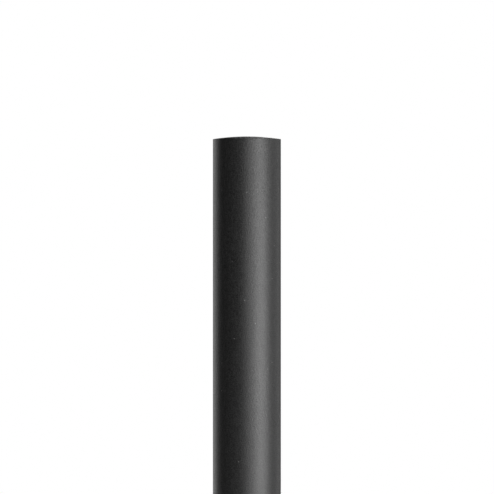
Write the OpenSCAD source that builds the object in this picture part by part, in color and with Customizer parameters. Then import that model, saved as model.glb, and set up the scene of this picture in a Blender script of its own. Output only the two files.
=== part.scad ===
// Surface-mounted round bollard post: a steel tube with a welded domed cap and a welded
// base plate, and a cast cover collar that slides down the tube to hide the anchors.
// Origin: the tube's axis at ground level. +Z is up. All sizes are in millimetres.

/* [Post] */
// Outside diameter of the tube
tube_d = 76.1; // [60.3:0.1:88.9]
// Wall thickness of the tube
tube_wall = 3.2; // [2.9:0.1:4]
// Height of the finished post above the ground
post_h = 1000; // [600:10:1200]

/* [Cap] */
// Rise of the domed top from its edge to its middle
dome_rise = 2.95; // [1:0.05:8]
// Thickness of the cap
cap_t = 3; // [2.5:0.1:5]
// Rounding of the cap's top edge
cap_edge_r = 0.4; // [0.2:0.1:0.8]
// Weld bevel on the tube's upper end
tube_bevel = 2.2; // [1.8:0.1:2.6]
// Weld bevel on the cap's lower edge
cap_bevel = 1.5; // [1:0.1:1.6]
// Height of the backing ring behind the seam
ring_h = 20; // [12:1:30]
// Wall of the backing ring
ring_wall = 2; // [1.5:0.1:3]

/* [Base] */
// Diameter of the base plate
plate_d = 200; // [190:1:220]
// Thickness of the base plate
plate_t = 10; // [8:1:12]
// Rounding of the plate's edges
plate_edge_r = 1; // [0.5:0.1:2]
// Pitch circle of the anchor holes
anchor_pcd = 155; // [150:1:160]
// Number of anchor holes
anchor_n = 4; // [3:1:6]
// Diameter of the anchor holes
anchor_hole_d = 14; // [12:0.5:15]
// Diameter of the drain hole under the tube
drain_d = 25; // [15:1:40]
// Leg of the fillet weld round the tube
weld_leg = 5; // [4:0.5:6]
// Thickness of the gasket under the plate
gasket_t = 3; // [2:0.5:5]

/* [Cover collar] */
// Space between the plate's edge and the inside of the skirt
skirt_gap = 6.5; // [6:0.5:12]
// Wall of the cast shell
collar_wall = 3.5; // [3:0.1:4.5]
// Height of the upright skirt
skirt_h = 26; // [24:1:40]
// Outer radius of the shoulder
shoulder_r = 12; // [8:1:16]
// Slope of the shell between shoulder and neck, in degrees
cone_angle = 15; // [12:1:25]
// Radius of the fillet between shell and neck
neck_fillet = 10; // [4:1:12]
// Thickness of the neck's wall
neck_wall = 8; // [7:0.5:10]
// Length of the neck above its fillet
neck_h = 15; // [14:1:25]
// Radial gap between the tube and the collar's bore
bore_gap = 0.6; // [0.4:0.1:1]

/* [Seal and trim] */
// Height of the rubber seal in the neck
seal_h = 4; // [3:0.5:5]
// Width of the rubber seal
seal_w = 3.6; // [3:0.1:4]
// Height of the rubber trim on the skirt's lower edge
trim_h = 7; // [5:0.5:9]
// Thickness of the trim
trim_t = 1.4; // [1:0.1:2]

/* [Set screws] */
// Number of set screws in the neck
screw_n = 3; // [2:1:4]
// Thread diameter of the set screws
screw_d = 5; // [4:1:5]
// Length of the set screws
screw_len = 6; // [5:0.5:6.5]
// Width across flats of the hexagon socket
socket_af = 2.5; // [2:0.5:2.5]

/* [Hidden] */
$fn = 96;

coat = "#333436";       // dark grey powder coat
zinc = "#9a9ea1";
stainless = "#b9bcbe";
rubber = "#1c1c1d";
nylon = "#e6e2d6";

arc_steps = 12;         // points along each rounded stretch of an outline
seat_gap = 0.05;        // play of a piece that sits in a pocket
slide_gap = 0.3;        // play between the tube and what slides past it

tube_r = tube_d / 2;
tube_ri = tube_r - tube_wall;
plate_r = plate_d / 2;
plate_top = gasket_t + plate_t;
cap_z = post_h - dome_rise - cap_t;     // where the cap sits on the tube's end

bore_r = tube_r + bore_gap;
neck_r = bore_r + neck_wall;
skirt_r = plate_r + skirt_gap + collar_wall;
shell_dir = [sin(cone_angle), cos(cone_angle)];     // outward normal of the sloping shell
shoulder_c = [skirt_r - shoulder_r, skirt_h];
shell_foot = shoulder_c + shoulder_r * shell_dir;
neck_c_r = neck_r + neck_fillet;
shell_top_r = neck_c_r - neck_fillet * shell_dir[0];
shell_top_z = shell_foot[1] + (shell_foot[0] - shell_top_r) * tan(cone_angle);
neck_c = [neck_c_r, shell_top_z + neck_fillet * shell_dir[1]];
neck_top = neck_c[1] + neck_h;
inner_foot = shoulder_c + (shoulder_r - collar_wall) * shell_dir;
ceiling_z = inner_foot[1] + (inner_foot[0] - bore_r) * tan(cone_angle);
neck_edge_r = 1.5;
seal_r = tube_r + slide_gap + seal_w;
seal_z = neck_top - seal_h;

screw_z = seal_z - 5;
tip_r = 1.5;                            // radius of a screw's nylon tip
tip_len = 1.6;
tip_out = 0.6;                          // how far the tip stands out of its screw
tip_face = tube_r + slide_gap;          // distance of the tip's face from the axis
screw_face = tip_face + tip_out;        // distance of the screw's inner end from the axis

// Points of an arc about c, from angle a0 to angle a1
function arc(c, r, a0, a1, n = arc_steps) =
    [for (i = [0:n]) c + r * [cos(a0 + (a1 - a0) * i / n), sin(a0 + (a1 - a0) * i / n)]];

// Radius of the sphere that rises by h over a circle of radius r
function cap_sphere_r(r, h) = (r * r + h * h) / (2 * h);

// Dome outline from radius r0 in to the axis, for a dome of edge radius r at height z
function dome(r, h, z, r0, n) =
    let (s = cap_sphere_r(r, h))
    arc([0, z + h - s], s, acos(r0 / s), 90, n);

module ring(r_in, r_out, z0, z1) {
    rotate_extrude()
        translate([r_in, z0])
            square([r_out - r_in, z1 - z0]);
}

// Repeats its children on the anchor circle
module at_anchors() {
    for (i = [0:anchor_n - 1])
        rotate([0, 0, 45 + i * 360 / anchor_n])
            translate([anchor_pcd / 2, 0, 0])
                children();
}

// Repeats its children at the set screws, with their Z along the radius
module at_screws(distance) {
    for (i = [0:screw_n - 1])
        rotate([0, 0, 90 + i * 360 / screw_n])
            translate([distance, 0, screw_z])
                rotate([0, 90, 0])
                    children();
}

// ---- post -------------------------------------------------------------------------------

module post_tube() {
    color(coat)
        rotate_extrude()
            polygon([
                [tube_ri, plate_top],
                [tube_r, plate_top],
                [tube_r, cap_z - tube_bevel],
                [tube_r - tube_bevel, cap_z],
                [tube_ri, cap_z]
            ]);
}

module top_cap() {
    edge_in = tube_r - cap_edge_r;
    top = dome(tube_r, dome_rise, cap_z + cap_t, edge_in, 24);
    seat_r = tube_ri - 0.25;
    under = dome(seat_r, dome_rise, cap_z, seat_r, 24);
    color(coat)
        rotate_extrude()
            polygon(concat(
                [[tube_r - cap_bevel, cap_z], [tube_r, cap_z + cap_bevel]],
                arc([edge_in, top[0][1] - cap_edge_r], cap_edge_r, 0, 85, 5),
                top,
                [for (i = [len(under) - 1:-1:0]) under[i]]
            ));
}

// The seam's V groove, filled and ground flush with the tube
module cap_seam_weld() {
    color(coat)
        rotate_extrude()
            polygon([
                [tube_r, cap_z - tube_bevel],
                [tube_r, cap_z + cap_bevel],
                [tube_r - cap_bevel, cap_z],
                [tube_r - tube_bevel, cap_z]
            ]);
}

module cap_backing_ring() {
    color(zinc)
        ring(tube_ri - seat_gap - ring_wall, tube_ri - seat_gap, cap_z - ring_h, cap_z);
}

module base_plate() {
    r = plate_edge_r;
    color(coat)
        difference() {
            rotate_extrude()
                polygon(concat(
                    [[0, gasket_t]],
                    arc([plate_r - r, gasket_t + r], r, -90, 0, 6),
                    arc([plate_r - r, plate_top - r], r, 0, 90, 6),
                    [[0, plate_top]]
                ));
            at_anchors()
                cylinder(d = anchor_hole_d, h = plate_top + 1);
            cylinder(d = drain_d, h = plate_top + 1);
        }
}

// Convex fillet between the tube and the plate
module base_weld() {
    belly = 0.56 * weld_leg;
    color(coat)
        rotate_extrude()
            polygon([
                [tube_r, plate_top],
                [tube_r + weld_leg, plate_top],
                [tube_r + belly, plate_top + belly],
                [tube_r, plate_top + weld_leg]
            ]);
}

module base_gasket() {
    color(rubber)
        difference() {
            cylinder(r = plate_r - 1, h = gasket_t);
            translate([0, 0, -1])
                at_anchors()
                    cylinder(d = anchor_hole_d + 2, h = gasket_t + 2);
            translate([0, 0, -1])
                cylinder(d = drain_d + 15, h = gasket_t + 2);
        }
}

// ---- collar -----------------------------------------------------------------------------

module cover_collar() {
    skirt_in = skirt_r - collar_wall;
    color(coat)
        difference() {
            rotate_extrude()
                polygon(concat(
                    [[skirt_in, trim_t], [skirt_r, trim_t]],
                    arc(shoulder_c, shoulder_r, 0, 90 - cone_angle),
                    arc(neck_c, neck_fillet, 270 - cone_angle, 180),
                    arc([neck_r - neck_edge_r, neck_top - neck_edge_r], neck_edge_r, 0, 90, 6),
                    [[seal_r, neck_top], [seal_r, seal_z], [bore_r, seal_z], [bore_r, ceiling_z]],
                    arc(shoulder_c, shoulder_r - collar_wall, 90 - cone_angle, 0)
                ));
            at_screws(bore_r - 1)
                cylinder(d = screw_d, h = neck_wall + 3);
        }
}

// Rubber ring in the neck's pocket, with a wiping lip that stands up against the tube
module collar_seal() {
    lip_r = tube_r + slide_gap;
    lip_t = 0.7;
    lip_h = 1.6;
    color(rubber)
        rotate_extrude()
            polygon([
                [lip_r + 0.8, seal_z],
                [seal_r - seat_gap, seal_z],
                [seal_r - seat_gap, neck_top],
                [lip_r + lip_t + 0.6, neck_top],
                [lip_r + 0.3, neck_top + lip_h],
                [lip_r, neck_top + lip_h],
                [lip_r, neck_top + lip_h - lip_t]
            ]);
}

// U-shaped rubber trim that grips the skirt's lower edge and stands on the ground
module collar_foot_trim() {
    slot_in = skirt_r - collar_wall - seat_gap;
    slot_out = skirt_r + seat_gap;
    bevel = 0.6;
    color(rubber)
        rotate_extrude()
            polygon([
                [slot_in - trim_t + bevel, 0],
                [slot_out + trim_t - bevel, 0],
                [slot_out + trim_t, bevel],
                [slot_out + trim_t, trim_h - bevel],
                [slot_out + trim_t - bevel, trim_h],
                [slot_out, trim_h],
                [slot_out, trim_t],
                [slot_in, trim_t],
                [slot_in, trim_h],
                [slot_in - trim_t + bevel, trim_h],
                [slot_in - trim_t, trim_h - bevel],
                [slot_in - trim_t, bevel]
            ]);
}

// Set screws with a hexagon socket outside and a pocket for the nylon tip inside
module collar_screws() {
    socket_depth = 2.5;
    color(stainless)
        at_screws(screw_face)
            difference() {
                cylinder(r = screw_d / 2 - seat_gap, h = screw_len);
                translate([0, 0, screw_len - socket_depth])
                    cylinder(d = socket_af / cos(30), h = socket_depth + 1, $fn = 6);
                translate([0, 0, -1])
                    cylinder(r = tip_r + seat_gap, h = 1 + tip_len - tip_out);
            }
}

module screw_tips() {
    color(nylon)
        at_screws(tip_face)
            cylinder(r = tip_r, h = tip_len);
}

post_tube();
top_cap();
cap_seam_weld();
cap_backing_ring();
base_plate();
base_weld();
base_gasket();
cover_collar();
collar_seal();
collar_foot_trim();
collar_screws();
screw_tips();
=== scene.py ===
"""Looks of the bollard post: fine turned meshes, a textured powder coat and soft studio light."""

import math

import bmesh
import bpy
from mathutils import Matrix, Vector


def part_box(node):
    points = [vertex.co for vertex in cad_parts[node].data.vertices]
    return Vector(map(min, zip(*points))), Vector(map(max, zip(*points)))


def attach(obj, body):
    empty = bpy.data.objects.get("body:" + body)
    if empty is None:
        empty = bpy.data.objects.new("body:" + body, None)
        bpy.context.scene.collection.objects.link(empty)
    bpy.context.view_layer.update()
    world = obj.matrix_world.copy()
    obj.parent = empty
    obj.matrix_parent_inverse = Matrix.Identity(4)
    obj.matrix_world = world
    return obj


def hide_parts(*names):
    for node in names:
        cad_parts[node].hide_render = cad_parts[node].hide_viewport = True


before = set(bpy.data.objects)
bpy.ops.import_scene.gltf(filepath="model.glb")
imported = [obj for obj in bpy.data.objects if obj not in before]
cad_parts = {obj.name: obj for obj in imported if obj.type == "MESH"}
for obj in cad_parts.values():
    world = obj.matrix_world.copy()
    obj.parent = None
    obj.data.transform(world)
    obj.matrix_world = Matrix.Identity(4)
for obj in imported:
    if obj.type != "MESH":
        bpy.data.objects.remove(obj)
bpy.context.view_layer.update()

# ---- sizes, in millimetres, from the frame and from the part's own design ----------------

MM = 0.001
SEGMENTS = 256          # sides of a turned piece
HOLD = 0.3              # from the ends of a flat wall to the extra points that keep it flat
SHARP = math.radians(34)    # an edge that turns more than this stays sharp


def low(node):
    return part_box(node)[0].z / MM


def high(node):
    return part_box(node)[1].z / MM


def radius(node):
    lo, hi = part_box(node)
    return max(-lo.x, -lo.y, hi.x, hi.y) / MM


TUBE_R = radius("post_tube")
TUBE_WALL = 3.2
TUBE_BEVEL = 2.2                                # the tube's side of the seam's groove
CAP_T = 3.0
CAP_BEVEL = 1.5                                 # the cap's side of the same groove
CAP_EDGE = 0.4                                  # rounding of the cap's rim
CAP_INSET = 0.25                                # the cap's underside starts this far inside the bore
SEAT = high("post_tube")                        # where the cap sits on the tube's end
TOP = high("top_cap")
DOME_RISE = TOP - SEAT - CAP_T
PLATE_R = radius("base_plate")
PLATE_LOW = low("base_plate")
PLATE_TOP = high("base_plate")
ANCHORS = 4
ANCHOR_CIRCLE_R = 77.5
ANCHOR_TURN = math.radians(45)                  # angle of the first anchor hole
ANCHOR_HOLE_R = 7.0
DRAIN_R = 12.5
PLATE_ROUND = 1.0
PLATE_HOLE_BEVEL = 0.4
WELD_LEG = high("base_weld") - PLATE_TOP
GASKET_R = radius("base_gasket")
GASKET_T = high("base_gasket")
GASKET_ROUND = 0.3
GASKET_HOLE_R = ANCHOR_HOLE_R + 1.0
GASKET_CENTRE_R = DRAIN_R + 7.5
GASKET_HOLE_BEVEL = 0.1

WALL = 3.5                                      # the cast collar's wall
SKIRT_R = radius("cover_collar")
SKIRT_LOW = low("cover_collar")
SKIRT_H = 26.0
SHOULDER_R = 12.0
SLOPE = math.radians(15)
BORE_R = TUBE_R + 0.6
NECK_R = BORE_R + 8.0
NECK_FILLET = 10.0
NECK_TOP = high("cover_collar")
SEAL_LOW = low("collar_seal")
SEAL_R = radius("collar_seal")
SEAL_TOP = high("collar_seal")
FIT_GAP = 0.05                                  # round the seal and the trim, where they sit
SLIDE_GAP = 0.3                                 # from the tube to the seal's lip and the tips
TRIM_R = radius("collar_foot_trim")
TRIM_TOP = high("collar_foot_trim")
SCREWS = 3
SCREW_TURN = math.radians(90)                   # angle of the first set screw
SCREW_HOLE_R = 2.5
SCREW_SINK_R = 3.6                              # mouth of the hole's countersink
SCREW_R = 2.45
SCREW_LEN = 6.0
SCREW_PITCH = 0.8
THREAD_DEPTH = 0.42
HEX_ACROSS = 2.5                                # the socket, across its flats
HEX_DEPTH = 2.5
TIP_POCKET_R = 1.55
TIP_POCKET_DEPTH = 1.0
SCREW_FACE = TUBE_R + SLIDE_GAP + 0.6           # the screw's inner end
SCREW_Z = SEAL_LOW - 5.0


# ---- meshes --------------------------------------------------------------------------------


def outline_of(*points):
    """An outline of (radius, height) points with no rounding."""
    return [Vector(point) for point in points]


def rounded(corners, step=math.radians(11)):
    """An outline with each corner (x, y, r) turned into an arc of radius r."""
    points = []
    n = len(corners)
    for i, (x, y, r) in enumerate(corners):
        here = Vector((x, y))
        if r <= 0:
            points.append(here)
            continue
        before = (Vector(corners[i - 1][:2]) - here).normalized()
        after = (Vector(corners[(i + 1) % n][:2]) - here).normalized()
        half = before.angle(after) / 2
        centre = here + (before + after).normalized() * (r / math.sin(half))
        start = here + before * (r / math.tan(half)) - centre
        turn = start.angle_signed(here + after * (r / math.tan(half)) - centre)
        count = max(2, math.ceil(abs(turn) / step))
        for k in range(count + 1):
            points.append(centre + Matrix.Rotation(-turn * k / count, 2) @ start)
    return points


def held(points):
    """The same outline with extra points that keep its long straight stretches flat."""
    out = []
    for i, here in enumerate(points):
        out.append(here)
        step = points[(i + 1) % len(points)] - here
        if step.length > 6 * HOLD:
            out.append(here + step.normalized() * HOLD)
            out.append(here + step - step.normalized() * HOLD)
    return out


def finish_mesh(name, bm):
    """Closes a bmesh into a smooth-shaded piece with its true edges left sharp."""
    bmesh.ops.remove_doubles(bm, verts=bm.verts, dist=1e-7)
    bmesh.ops.recalc_face_normals(bm, faces=bm.faces)
    mesh = bpy.data.meshes.new(name)
    bm.to_mesh(mesh)
    bm.free()
    mesh.shade_smooth()
    mesh.set_sharp_from_angle(angle=SHARP)
    piece = bpy.data.objects.new(name, mesh)
    bpy.context.scene.collection.objects.link(piece)
    return piece


def lathe(name, outline, segments=SEGMENTS, radius_at=None):
    """Turns a closed outline of (radius, height) round the Z axis.
    radius_at(angle, r, z) may move each point, for a surface that isn't quite round."""
    bm = bmesh.new()
    rings = []
    for r, z in outline:
        if r < 1e-6:
            rings.append([bm.verts.new((0, 0, z * MM))] * segments)
            continue
        ring = []
        for k in range(segments):
            a = math.tau * k / segments
            rr, zz = radius_at(a, r, z) if radius_at else (r, z)
            ring.append(bm.verts.new((rr * math.cos(a) * MM, rr * math.sin(a) * MM, zz * MM)))
        rings.append(ring)
    for i, ring in enumerate(rings):
        other = rings[(i + 1) % len(rings)]
        for k in range(segments):
            m = (k + 1) % segments
            corners = dict.fromkeys((ring[k], ring[m], other[m], other[k]))
            if len(corners) > 2:
                bm.faces.new(list(corners))
    return finish_mesh(name, bm)


def cut(piece, cutters):
    """Takes the cutters out of a piece and deletes them."""
    for cutter in cutters:
        modifier = piece.modifiers.new("cut", "BOOLEAN")
        modifier.operation = "DIFFERENCE"
        modifier.solver = "EXACT"
        modifier.object = cutter
    graph = bpy.context.evaluated_depsgraph_get()
    mesh = bpy.data.meshes.new_from_object(piece.evaluated_get(graph))
    piece.modifiers.clear()
    piece.data = mesh
    for cutter in cutters:
        bpy.data.objects.remove(cutter)
    mesh.shade_smooth()
    mesh.set_sharp_from_angle(angle=SHARP)
    return piece


def placed(piece, matrix):
    """Moves a piece's mesh, so that its object stays at the origin."""
    piece.data.transform(matrix)
    return piece


def hole_cutter(r, z0, z1, chamfer, segments=72):
    """A drill for a hole of radius r from z0 to z1, which bevels both of its edges."""
    over = 1.0
    return lathe("drill", outline_of(
        (0, z0 - over),
        (r + chamfer + over, z0 - over),
        (r, z0 + chamfer),
        (r, z1 - chamfer),
        (r + chamfer + over, z1 + over),
        (0, z1 + over),
    ), segments)


def at_anchor(piece, i):
    """Moves a piece made on the post's axis to anchor hole i."""
    a = ANCHOR_TURN + math.tau * i / ANCHORS
    outward = Vector((math.cos(a), math.sin(a), 0))
    return placed(piece, Matrix.Translation(outward * ANCHOR_CIRCLE_R * MM))


def at_screw(piece, i, distance):
    """Moves a piece made along +Z so that it points away from the tube at set screw i."""
    turn = Matrix.Rotation(SCREW_TURN + math.tau * i / SCREWS, 4, "Z")
    move = Matrix.Translation((distance * MM, 0, SCREW_Z * MM))
    return placed(piece, turn @ move @ Matrix.Rotation(math.radians(90), 4, "Y"))


# ---- materials -----------------------------------------------------------------------------


class Surface:
    """A Principled material whose patterns are laid out in the part's own metres."""

    def __init__(self, name):
        self.material = bpy.data.materials.new(name)
        self.material.use_nodes = True
        self.tree = self.material.node_tree
        self.shader = self.tree.nodes["Principled BSDF"]
        self.coords = self.tree.nodes.new("ShaderNodeTexCoord").outputs["Object"]

    def node(self, kind, inputs=None, **settings):
        """Adds a node. An input is linked if it is given as a socket, and set if it is a value."""
        n = self.tree.nodes.new(kind)
        for key, value in settings.items():
            setattr(n, key, value)
        for key, value in (inputs or {}).items():
            if isinstance(value, bpy.types.NodeSocket):
                self.tree.links.new(value, n.inputs[key])
            else:
                n.inputs[key].default_value = value
        return n

    def noise(self, scale, detail=2.0, roughness=0.5):
        inputs = {"Vector": self.coords, "Scale": scale, "Detail": detail, "Roughness": roughness}
        return self.node("ShaderNodeTexNoise", inputs).outputs["Fac"]

    def cells(self, scale, output="Distance"):
        inputs = {"Vector": self.coords, "Scale": scale}
        return self.node("ShaderNodeTexVoronoi", inputs, feature="F1").outputs[output]

    def fit(self, value, in_low, in_high, out_low, out_high):
        """The value carried from one range to another and held inside it."""
        inputs = {
            "Value": value,
            "From Min": in_low,
            "From Max": in_high,
            "To Min": out_low,
            "To Max": out_high,
        }
        return self.node("ShaderNodeMapRange", inputs).outputs["Result"]

    def math(self, operation, a, b=0.0):
        return self.node("ShaderNodeMath", {0: a, 1: b}, operation=operation).outputs[0]

    def mix(self, factor, a, b):
        n = self.node("ShaderNodeMix", data_type="RGBA")
        for socket, value in ((n.inputs["Factor"], factor), (n.inputs["A"], a), (n.inputs["B"], b)):
            if isinstance(value, bpy.types.NodeSocket):
                self.tree.links.new(value, socket)
            elif socket.type == "RGBA":
                socket.default_value = (*value, 1)
            else:
                socket.default_value = value
        return n.outputs["Result"]

    def bump(self, height, distance, after=None):
        """A bump of a height in metres, laid over the bump in after."""
        inputs = {"Height": height, "Distance": distance, "Strength": 1.0}
        if after is not None:
            inputs["Normal"] = after
        return self.node("ShaderNodeBump", inputs).outputs["Normal"]

    def drive(self, **inputs):
        """Sets or links the shader's own inputs, and gives back the finished material."""
        for key, value in inputs.items():
            socket = self.shader.inputs[key.replace("_", " ")]
            if isinstance(value, bpy.types.NodeSocket):
                self.tree.links.new(value, socket)
            else:
                socket.default_value = value
        return self.material


def grey(level, warm=0.0):
    """A grey of one linear level, tinted towards red by the share in warm."""
    return (level * (1 + warm), level, level * (1 - warm))


def powder_coat():
    """Dark grey fine-textured polyester powder coat: pebbled satin, with rare painted glints as pale
    specks in its colour.
    """
    cells_per_metre = 430
    glint_share = 0.009         # of the cells that hold a painted glint
    glint_radius = 0.22         # of a cell
    s = Surface("fine_texture_coat")
    pebbles = s.noise(1600, 2.0, 0.6)
    grain = s.noise(950, 2.0, 0.6)
    cloud = s.noise(9, 3.0)
    film = s.mix(s.fit(grain, 0.35, 0.65, 0.0, 1.0), grey(0.004), grey(0.036))
    cell_colour = s.cells(cells_per_metre, output="Color")
    lot = s.node("ShaderNodeSeparateColor", {"Color": cell_colour}).outputs["Red"]
    glint_cells = s.math("GREATER_THAN", lot, 1 - glint_share)
    glint_spots = s.math("LESS_THAN", s.cells(cells_per_metre), glint_radius)
    # painted glints: pale grey specks in the base colour stand for sparkle off the coat
    colour = s.mix(s.math("MULTIPLY", glint_cells, glint_spots), film, grey(0.16))
    fine_gloss = s.fit(pebbles, 0.3, 0.7, -0.05, 0.05)
    broad_gloss = s.fit(cloud, 0.3, 0.7, 0.33, 0.37)
    normal = s.bump(grain, 0.00018, after=s.bump(pebbles, 0.00012))
    return s.drive(Base_Color=colour, Roughness=s.math("ADD", fine_gloss, broad_gloss), Normal=normal)


def rubber(name, level, roughness, grain):
    """Black rubber with a fine moulding grain and a little dust."""
    s = Surface(name)
    fine = s.noise(grain, 3.0, 0.6)
    dust = s.noise(70, 4.0, 0.6)
    colour = s.mix(s.fit(dust, 0.45, 0.75, 0.0, 1.0), grey(level), grey(level * 1.9, 0.03))
    rough = s.fit(dust, 0.3, 0.7, roughness - 0.06, roughness + 0.06)
    return s.drive(Base_Color=colour, Roughness=rough, Normal=s.bump(fine, 0.00004))


def stainless():
    """Turned stainless steel with fine rings and handling marks."""
    s = Surface("stainless")
    rings = s.noise(2600, 2.0)
    smear = s.noise(220, 3.0)
    colour = s.mix(smear, grey(0.50), grey(0.62, 0.01))
    return s.drive(Base_Color=colour, Metallic=1.0, Roughness=s.fit(smear, 0.3, 0.7, 0.22, 0.38),
                   Normal=s.bump(rings, 0.00001))


def galvanised():
    """Dull hot-dip zinc with a spangle."""
    s = Surface("galvanised")
    spangle = s.cells(240, output="Color")
    colour = s.mix(spangle, grey(0.34), grey(0.52))
    return s.drive(Base_Color=colour, Metallic=1.0, Roughness=s.fit(spangle, 0, 1, 0.38, 0.55),
                   Normal=s.bump(s.noise(900, 2.0), 0.00003))


def nylon():
    """Natural nylon, slightly mottled."""
    s = Surface("nylon")
    colour = s.mix(s.noise(900, 2.0), (0.72, 0.69, 0.60), (0.82, 0.79, 0.70))
    return s.drive(Base_Color=colour, Roughness=0.45, Normal=s.bump(s.noise(2500), 0.00001))


COAT = powder_coat()
GASKET_RUBBER = rubber("gasket_rubber", 0.020, 0.78, 1400)
SEAL_RUBBER = rubber("seal_rubber", 0.014, 0.50, 2200)
TRIM_RUBBER = rubber("trim_rubber", 0.016, 0.58, 1800)
STAINLESS = stainless()
GALVANISED = galvanised()
NYLON = nylon()


def dress(piece, material, body, slot, *nodes):
    """Gives a piece its material and its body, and hides the CAD nodes that it stands for. The slot
    is not used.
    """
    piece.data.materials.clear()
    piece.data.materials.append(material)
    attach(piece, body)
    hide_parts(*nodes)
    return piece


def repaint(node, material):
    """Gives a CAD node that stays visible a finished material."""
    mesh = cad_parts[node].data
    mesh.materials.clear()
    mesh.materials.append(material)


# ---- the post ------------------------------------------------------------------------------


def dome(r, rise, z, r_from, count=28):
    """Points from radius r_from in to the axis on a dome that rises over a circle of radius r."""
    ball = (r * r + rise * rise) / (2 * rise)
    centre = z + rise - ball
    start = math.acos(r_from / ball)
    steps = [start + (math.pi / 2 - start) * k / count for k in range(count + 1)]
    return [Vector((max(0.0, ball * math.cos(a)), centre + ball * math.sin(a))) for a in steps]


def make_tube():
    """The tube, beveled outside at the top for the weld."""
    inner = TUBE_R - TUBE_WALL
    return lathe("tube", rounded([
        (inner, PLATE_TOP, 0),
        (TUBE_R, PLATE_TOP, 0),
        (TUBE_R, SEAT - TUBE_BEVEL, 0),
        (TUBE_R - TUBE_BEVEL, SEAT, 0),
        (inner, SEAT, 0),
    ]))


def make_cap():
    """The domed disc, with a rounded rim and a bevel below it for the weld."""
    edge_in = TUBE_R - CAP_EDGE
    top = dome(TUBE_R, DOME_RISE, SEAT + CAP_T, edge_in)
    seat_r = TUBE_R - TUBE_WALL - CAP_INSET
    under = dome(seat_r, DOME_RISE, SEAT, seat_r)
    centre = Vector((edge_in, top[0].y - CAP_EDGE))
    lean = math.radians(82)                     # how far the rim's arc turns before the dome
    steps = 8
    turns = [Matrix.Rotation(lean * k / steps, 2) for k in range(steps + 1)]
    edge = [centre + turn @ Vector((CAP_EDGE, 0)) for turn in turns]
    foot = outline_of((TUBE_R - CAP_BEVEL, SEAT), (TUBE_R, SEAT + CAP_BEVEL))
    return lathe("cap", foot + edge + top + under[::-1])


def make_seam():
    """The weld that fills the groove between tube and cap, ground flush."""
    return lathe("cap_seam", outline_of(
        (TUBE_R, SEAT - TUBE_BEVEL),
        (TUBE_R, SEAT + CAP_BEVEL),
        (TUBE_R - CAP_BEVEL, SEAT),
        (TUBE_R - TUBE_BEVEL, SEAT),
    ))


def make_plate():
    """The base plate with its anchor holes and the drain hole."""
    plate = lathe("plate", held(rounded([
        (0, PLATE_LOW, 0),
        (PLATE_R, PLATE_LOW, PLATE_ROUND),
        (PLATE_R, PLATE_TOP, PLATE_ROUND),
        (0, PLATE_TOP, 0),
    ])))

    def drill(r):
        return hole_cutter(r, PLATE_LOW, PLATE_TOP, PLATE_HOLE_BEVEL)

    anchor_drills = [at_anchor(drill(ANCHOR_HOLE_R), i) for i in range(ANCHORS)]
    return cut(plate, anchor_drills + [drill(DRAIN_R)])


def make_weld_bead():
    """A fillet bead laid round the foot of the tube in overlapping ripples."""
    ripples = 104
    depth = 0.22
    belly = 0.56 * WELD_LEG     # where the bead's face bulges, out from the corner and up
    sunk = 0.2                  # how far the bead reaches into tube and plate
    corners = [
        (TUBE_R - sunk, PLATE_TOP - sunk, 0),
        (TUBE_R + WELD_LEG, PLATE_TOP - sunk, 0),
        (TUBE_R + belly, PLATE_TOP + belly, 2.2),
        (TUBE_R - sunk, PLATE_TOP + WELD_LEG, 0),
    ]
    heel = Vector((TUBE_R, PLATE_TOP))

    def ripple(angle, r, z):
        out = Vector((r, z)) - heel
        spread = min(out.x, out.y) / belly
        if spread <= 0:
            return r, z
        wave = 0.5 + 0.5 * math.cos(ripples * angle + 1.6 * spread + 0.5 * math.sin(7 * angle))
        wander = 0.12 * math.sin(5 * angle) + 0.08 * math.sin(13 * angle + 1)
        scale = 1 - (depth * wave ** 2 + wander * 0.5) * min(1.0, spread) / out.length
        return heel.x + out.x * scale, heel.y + out.y * scale

    return lathe("foot_weld", rounded(corners), ripples * 10, ripple)


def make_gasket():
    """The rubber ring under the plate, with wider holes on the same centres."""
    gasket = lathe("gasket", held(rounded([
        (0, 0, 0),
        (GASKET_R, 0, GASKET_ROUND),
        (GASKET_R, GASKET_T, GASKET_ROUND),
        (0, GASKET_T, 0),
    ])))

    def drill(r):
        return hole_cutter(r, 0, GASKET_T, GASKET_HOLE_BEVEL)

    anchor_drills = [at_anchor(drill(GASKET_HOLE_R), i) for i in range(ANCHORS)]
    return cut(gasket, anchor_drills + [drill(GASKET_CENTRE_R)])


# ---- the collar ----------------------------------------------------------------------------


def shell_z(r):
    """Height of the collar's sloping top at radius r."""
    shoulder = SKIRT_H + SHOULDER_R * (1 / math.cos(SLOPE) - math.tan(SLOPE))
    return shoulder + (SKIRT_R - r) * math.tan(SLOPE)


def make_collar():
    """The cast shell: skirt, sloping top, neck with the seal's pocket, and set screw holes."""
    skirt_in = SKIRT_R - WALL
    drop = WALL / math.cos(SLOPE)               # from the sloping top down to its underside
    pocket_r = SEAL_R + FIT_GAP
    collar = lathe("collar", held(rounded([
        (skirt_in, SKIRT_LOW, 0.5),
        (SKIRT_R, SKIRT_LOW, 0.5),
        (SKIRT_R, shell_z(SKIRT_R), SHOULDER_R),
        (NECK_R, shell_z(NECK_R), NECK_FILLET),
        (NECK_R, NECK_TOP, 1.5),
        (pocket_r, NECK_TOP, 0.3),
        (pocket_r, SEAL_LOW, 0),
        (BORE_R, SEAL_LOW, 0.3),
        (BORE_R, shell_z(BORE_R) - drop, 1.0),
        (skirt_in, shell_z(skirt_in) - drop, SHOULDER_R - WALL),
    ], math.radians(6))))
    neck_wall = NECK_R - BORE_R
    drills = []
    for i in range(SCREWS):
        drill = lathe("drill", outline_of(
            (0, -2),
            (SCREW_HOLE_R, -2),
            (SCREW_HOLE_R, neck_wall - 0.5),
            (SCREW_SINK_R, neck_wall + 1),
            (0, neck_wall + 1),
        ), 48)
        drills.append(at_screw(drill, i, BORE_R))
    return cut(collar, drills)


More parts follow.
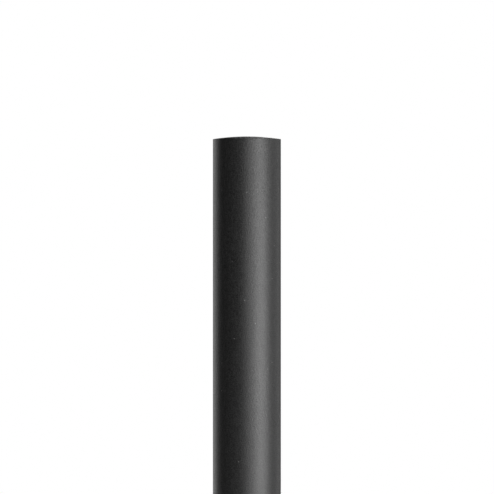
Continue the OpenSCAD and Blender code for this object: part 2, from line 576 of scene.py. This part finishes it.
def make_seal():
    """A ring in the neck's pocket whose thin lip stands up round the tube."""
    lip_r = TUBE_R + SLIDE_GAP
    return lathe("wiper_seal", rounded([
        (lip_r + 0.8, SEAL_LOW, 0.1),
        (SEAL_R, SEAL_LOW, 0.2),
        (SEAL_R, NECK_TOP, 0.4),
        (lip_r + 1.3, NECK_TOP, 0.4),
        (lip_r + 0.3, SEAL_TOP, 0.12),
        (lip_r, SEAL_TOP, 0.08),
        (lip_r, SEAL_TOP - 0.7, 0.1),
    ]))


def make_trim():
    """A U-shaped rubber edge that the skirt stands in."""
    slot_in = SKIRT_R - WALL - FIT_GAP
    slot_out = SKIRT_R + FIT_GAP
    thick = TRIM_R - slot_out
    return lathe("foot_trim", held(rounded([
        (slot_in - thick, 0, 0.6),
        (TRIM_R, 0, 0.6),
        (TRIM_R, TRIM_TOP, 0.9),
        (slot_out, TRIM_TOP, 0.2),
        (slot_out, SKIRT_LOW, 0),
        (slot_in, SKIRT_LOW, 0),
        (slot_in, TRIM_TOP, 0.2),
        (slot_in - thick, TRIM_TOP, 0.9),
    ])))


def make_set_screw(i):
    """An M5 set screw: a real helical thread, a hexagon socket and a pocket for its nylon tip."""
    rows = 84
    sides = 40
    over = 1.0                  # how far the cutters stand out of the screw
    end_drop = 0.65             # how far its ends taper in, and how fast they widen again
    end_slope = 1.2
    hex_r = HEX_ACROSS / 2 / math.cos(math.radians(30))

    def thread(angle, r, z):
        if r < SCREW_R - 0.001:
            return r, z
        turn = (z / SCREW_PITCH - angle / math.tau) % 1
        groove = THREAD_DEPTH * (1 - abs(2 * turn - 1))
        from_end = min(z, SCREW_LEN - z)
        return min(r - groove, SCREW_R - end_drop + from_end * end_slope), z

    def pin(r, z0, z1, segments):
        return lathe("drill", outline_of((0, z0), (r, z0), (r, z1), (0, z1)), segments)

    side = [Vector((SCREW_R, SCREW_LEN * k / rows)) for k in range(rows + 1)]
    outline = outline_of((0, 0)) + side + outline_of((0, SCREW_LEN))
    rod = lathe("set_screw_%d" % (i + 1), outline, sides, thread)
    socket = pin(hex_r, SCREW_LEN - HEX_DEPTH, SCREW_LEN + over, 6)
    pocket = pin(TIP_POCKET_R, -over, TIP_POCKET_DEPTH, sides)
    return at_screw(cut(rod, [socket, pocket]), i, SCREW_FACE)


dress(make_tube(), COAT, "post", "powder_coat", "post_tube")
dress(make_cap(), COAT, "post", "powder_coat", "top_cap")
dress(make_seam(), COAT, "post", "powder_coat", "cap_seam_weld")
dress(make_plate(), COAT, "post", "powder_coat", "base_plate")
dress(make_weld_bead(), COAT, "post", "powder_coat", "base_weld")
dress(make_gasket(), GASKET_RUBBER, "post", "gasket_rubber", "base_gasket")
dress(make_collar(), COAT, "collar", "collar_coat", "cover_collar")
dress(make_seal(), SEAL_RUBBER, "collar", "seal_rubber", "collar_seal")
dress(make_trim(), TRIM_RUBBER, "collar", "trim_rubber", "collar_foot_trim")
for number in range(SCREWS):
    dress(make_set_screw(number), STAINLESS, "collar", "stainless_steel", "collar_screws")
repaint("cap_backing_ring", GALVANISED)
repaint("screw_tips", NYLON)


# ---- studio --------------------------------------------------------------------------------

CAMERA_DISTANCE = 40 * 2 * TUBE_R * MM
VIEW_WIDTH = 7.261 * 2 * TUBE_R * MM            # what the picture spans at the post
CAP_OVER_EYE = 1.583 * 2 * TUBE_R * MM          # the cap's edge above the camera
CAMERA_X = 0.16 * MM                            # sets the post a touch left of the middle


def make_camera():
    """A level camera, far from the post, that sees only the post's upper part."""
    data = bpy.data.cameras.new("camera")
    data.lens = data.sensor_width * CAMERA_DISTANCE / VIEW_WIDTH
    camera = bpy.data.objects.new("camera", data)
    camera.location = (CAMERA_X, -CAMERA_DISTANCE, (SEAT + CAP_T) * MM - CAP_OVER_EYE)
    camera.rotation_euler = (math.pi / 2, 0, 0)
    bpy.context.scene.collection.objects.link(camera)
    bpy.context.scene.camera = camera


def panel(name, size_x, size_y, strength):
    """A soft panel that the camera doesn't see. strength is its brightness."""
    data = bpy.data.lights.new(name, "AREA")
    data.shape = "RECTANGLE"
    data.size = size_x
    data.size_y = size_y
    data.energy = strength * math.pi * size_x * size_y
    light = bpy.data.objects.new(name, data)
    light.visible_camera = False
    bpy.context.scene.collection.objects.link(light)
    return light


def softbox(name, azimuth, spread, strength, distance=2.2, low_z=0.02, high_z=1.9):
    """An upright panel. azimuth runs from the front of the post to its right, and spread is
    the panel's width, both in degrees seen from the post. Its distance and heights are metres."""
    a = math.radians(azimuth)
    light = panel(name, 2 * distance * math.tan(math.radians(spread / 2)), high_z - low_z, strength)
    light.location = (distance * math.sin(a), -distance * math.cos(a), (low_z + high_z) / 2)
    light.rotation_euler = (math.pi / 2, 0, a)


def make_lights():
    """A key and a wide front light, two weak rims, a low wide one near the floor behind the
    post, a small one that only grazes the crest of the cap, and one overhead."""
    softbox("key", azimuth=51, spread=41, strength=5.2, high_z=1.3)
    softbox("front", azimuth=24, spread=52, strength=2.0, high_z=2.3)
    softbox("rim_left", azimuth=-140, spread=42, strength=0.92)
    softbox("rim_right", azimuth=109, spread=78, strength=0.53)
    softbox("back", azimuth=180, spread=60, strength=10, distance=1.2, high_z=0.3)
    softbox("crest", azimuth=175, spread=7, strength=2.1, low_z=1.12, high_z=1.8)
    top = panel("top", size_x=1.6, size_y=1.6, strength=2.4)
    top.location = (0, 0.3, 2.9)


def background(nodes, strength):
    """A white world background of the given strength."""
    node = nodes.new("ShaderNodeBackground")
    node.inputs["Color"].default_value = (1, 1, 1, 1)
    node.inputs["Strength"].default_value = strength
    return node


def make_world():
    """White behind the object for the camera, and a faint even light for everything else."""
    world = bpy.data.worlds.new("studio")
    bpy.context.scene.world = world
    world.use_nodes = True
    nodes, links = world.node_tree.nodes, world.node_tree.links
    nodes.clear()
    seen = background(nodes, 1.0)
    fill = background(nodes, 0.03)
    path = nodes.new("ShaderNodeLightPath")
    mix = nodes.new("ShaderNodeMixShader")
    out = nodes.new("ShaderNodeOutputWorld")
    links.new(path.outputs["Is Camera Ray"], mix.inputs[0])
    links.new(fill.outputs[0], mix.inputs[1])
    links.new(seen.outputs[0], mix.inputs[2])
    links.new(mix.outputs[0], out.inputs["Surface"])


def make_floor():
    """A pale floor that the camera sees turn to the backdrop's white away from the object."""
    drop = 0.1                  # how far the floor lies below the object's foot
    bottom = 1.0
    rings = [500, 1500, 3000, 6000]
    top = outline_of((0, 0), *((r, -drop) for r in rings))
    floor = lathe("floor", top + outline_of((rings[-1], -bottom), (0, -bottom)), 96)
    fade_from = 0.15            # metres from the post's axis
    fade_to = 1.0
    least_glow = 0.55
    s = Surface("floor")
    colour = s.mix(s.noise(60, 3.0), grey(0.70), grey(0.73))
    s.drive(Base_Color=colour, Roughness=0.75)
    away = s.node("ShaderNodeVectorMath", {0: s.coords}, operation="LENGTH").outputs["Value"]
    seen = s.node("ShaderNodeLightPath").outputs["Is Camera Ray"]
    glow = s.node("ShaderNodeEmission", {"Color": (1, 1, 1, 1), "Strength": 1.0}).outputs[0]
    fade = s.math("MULTIPLY", s.fit(away, fade_from, fade_to, least_glow, 1.0), seen)
    mix = s.node("ShaderNodeMixShader", {0: fade, 1: s.shader.outputs[0], 2: glow})
    s.tree.links.new(mix.outputs[0], s.tree.nodes["Material Output"].inputs["Surface"])
    floor.data.materials.append(s.material)


make_camera()
make_lights()
make_world()
make_floor()
bpy.context.scene.view_settings.view_transform = "Standard"
